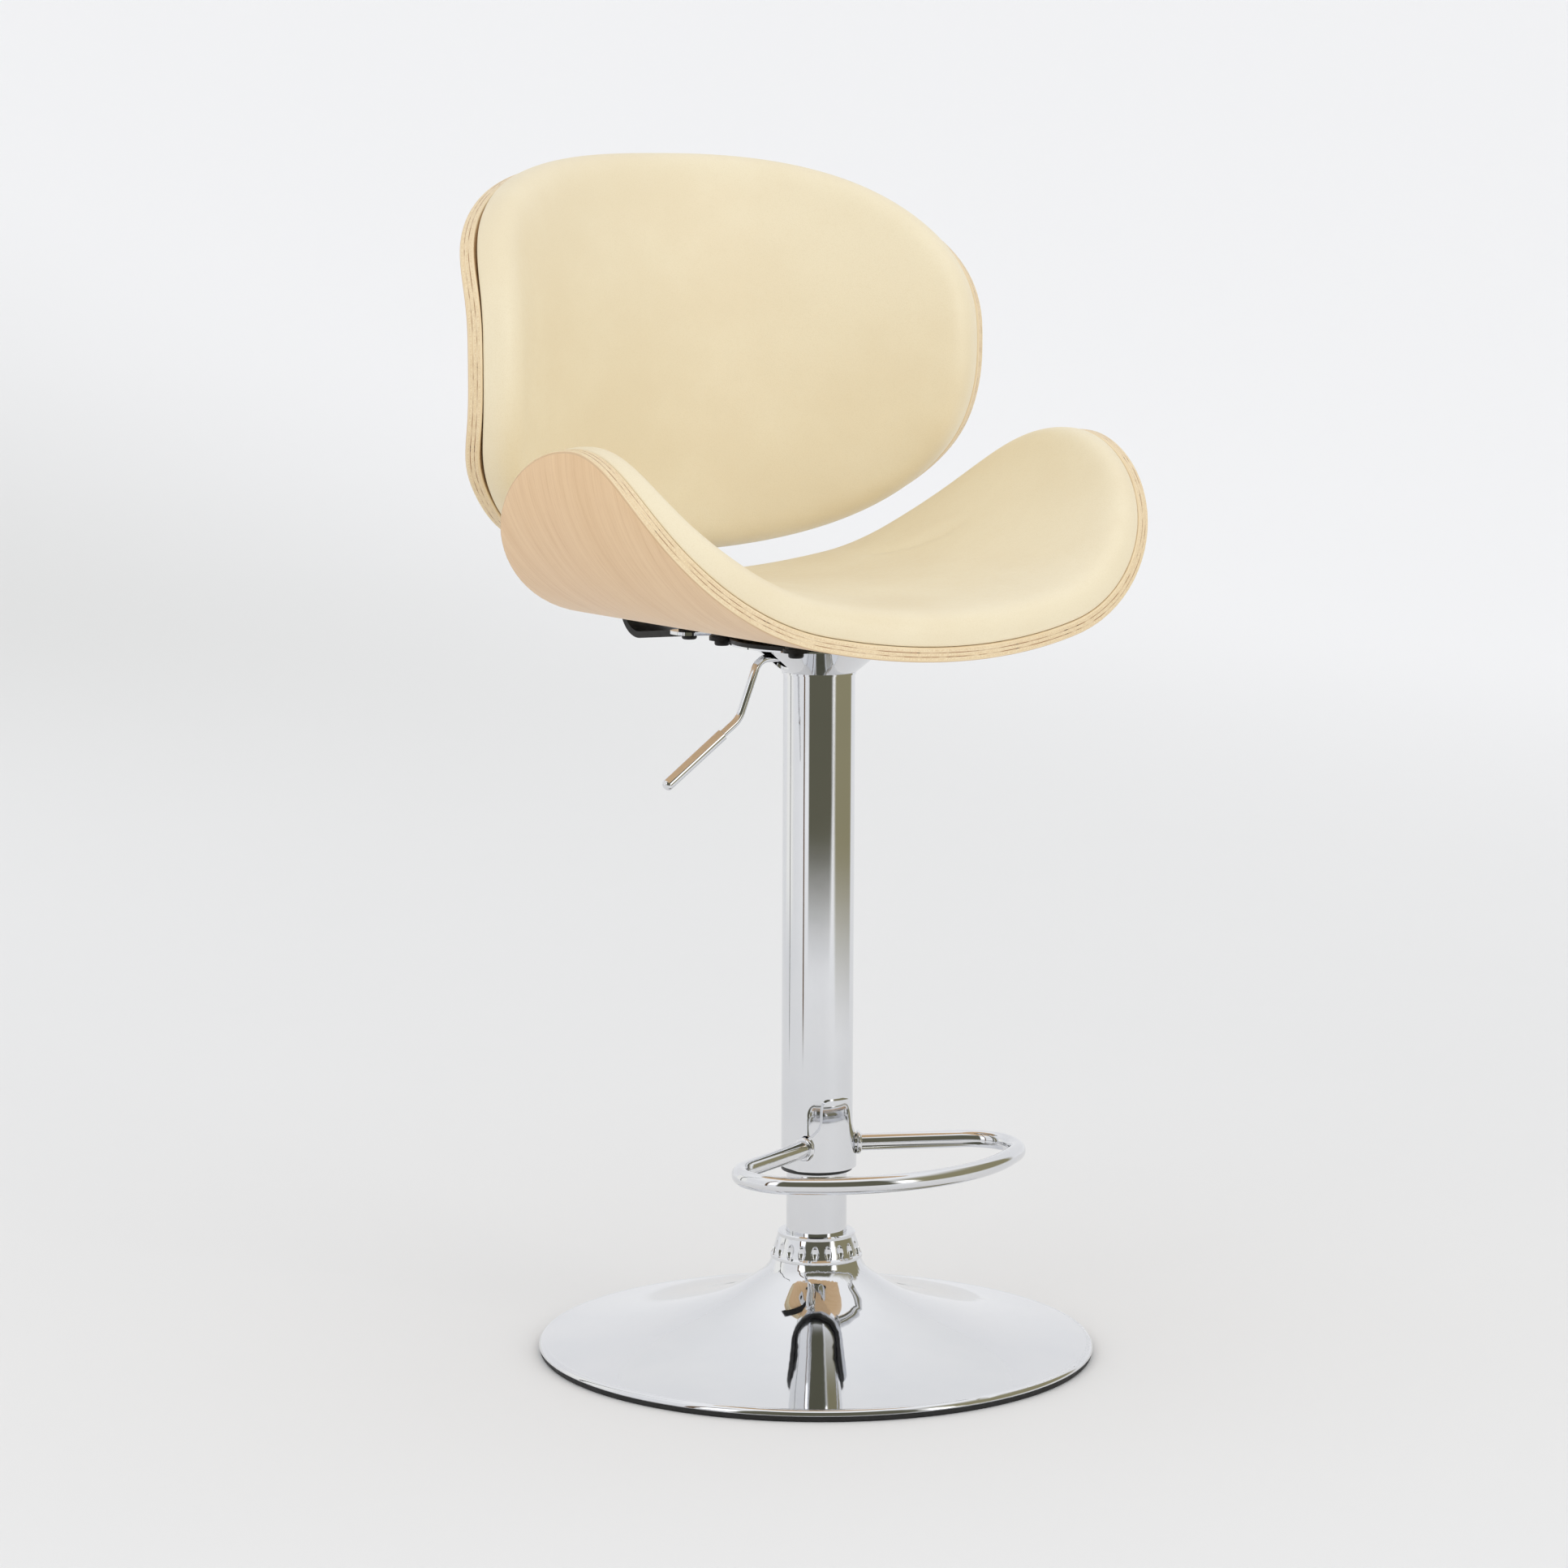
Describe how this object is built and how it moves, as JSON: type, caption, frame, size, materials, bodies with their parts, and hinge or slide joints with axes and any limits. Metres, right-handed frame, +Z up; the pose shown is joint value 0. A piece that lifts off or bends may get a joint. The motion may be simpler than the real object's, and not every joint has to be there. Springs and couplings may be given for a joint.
{
  "type": "adjustable swivel stool",
  "caption": "Adjustable swivel bar stool: round chrome base, gas-lift column with a footrest loop, bent-ply seat and wrap-round back with pale pads.",
  "frame": {"origin": "on the floor, on the column's axis", "axes": "+Z up the column, -Y the way the sitter faces, -X the sitter's right, where the lever is"},
  "size_m": [0.4586, 0.4569, 0.871],
  "materials": {
    "chrome": "polished chrome plate",
    "plated_steel": "zinc-plated steel",
    "black_steel": "black oxide",
    "cast_iron": "rough cast, painted",
    "rubber": "matt rubber",
    "black_plastic": "moulded plastic",
    "bent_ply": "clear satin lacquer on pale veneer",
    "board": "plain thin ply",
    "upholstery": "cream coated fabric, fine grain"
  },
  "bodies": {
    "base": {"base_shell": "chrome", "rim_ring": "rubber", "ballast_plate": "cast_iron", "base_socket": "plated_steel", "socket_screws": "plated_steel", "collar": "chrome", "column_tube": "chrome", "column_floor": "plated_steel", "guide_bush": "black_plastic", "lower_race": "plated_steel", "bearing_balls": "plated_steel"},
    "rod": {"piston_rod": "plated_steel", "rod_clip": "plated_steel", "upper_race": "plated_steel", "bump_stop": "rubber", "piston": "plated_steel"},
    "carriage": {"gas_cylinder": "black_steel", "rod_gland": "black_plastic", "cylinder_head": "plated_steel", "outer_sleeve": "chrome", "sleeve_end_ring": "black_plastic", "footrest_loop": "chrome", "footrest_saddle": "chrome", "footrest_welds": "chrome", "hub_bell": "chrome", "hub_socket": "plated_steel", "mounting_plate": "black_steel", "lever_ears": "plated_steel", "lever_pin": "plated_steel", "plate_bolts": "black_steel", "foot_bolts": "black_steel", "seat_spacers": "rubber", "seat_nuts": "plated_steel", "bracket_foot": "chrome", "back_bracket": "black_steel", "back_bolts": "black_steel", "back_nuts": "plated_steel", "seat_shell": "bent_ply", "seat_pad_board": "board", "seat_pad": "upholstery", "back_shell": "bent_ply", "back_pad_board": "board", "back_pad": "upholstery"},
    "lever": {"lever_rod": "chrome", "lever_grip": "chrome"},
    "button": {"release_button": "black_plastic"}
  },
  "joints": [
    {"name": "swivel", "type": "hinge", "parent": "base", "child": "rod", "pos_m": [0, 0, 0.02], "axis": [0, 0, 1], "continuous": true},
    {"name": "height", "type": "slide", "parent": "rod", "child": "carriage", "axis": [0, 0, 1], "range_m": [0, 0.21]},
    {"name": "lever_lift", "type": "hinge", "parent": "carriage", "child": "lever", "pos_m": [-0.026, 0, 0.5169], "axis": [0, 1, 0], "range_deg": [0, 7.5], "stiffness_Nm_per_rad": 1.5, "springref_deg": -5.73},
    {"name": "button_press", "type": "slide", "parent": "carriage", "child": "button", "axis": [0, 0, -1], "range_m": [0, 0.0035], "stiffness_N_per_m": 600, "springref_m": -0.002}
  ],
  "couplings": [
    {"joint": "button_press", "follows": "lever_lift", "m_per_rad": 0.026}
  ]
}
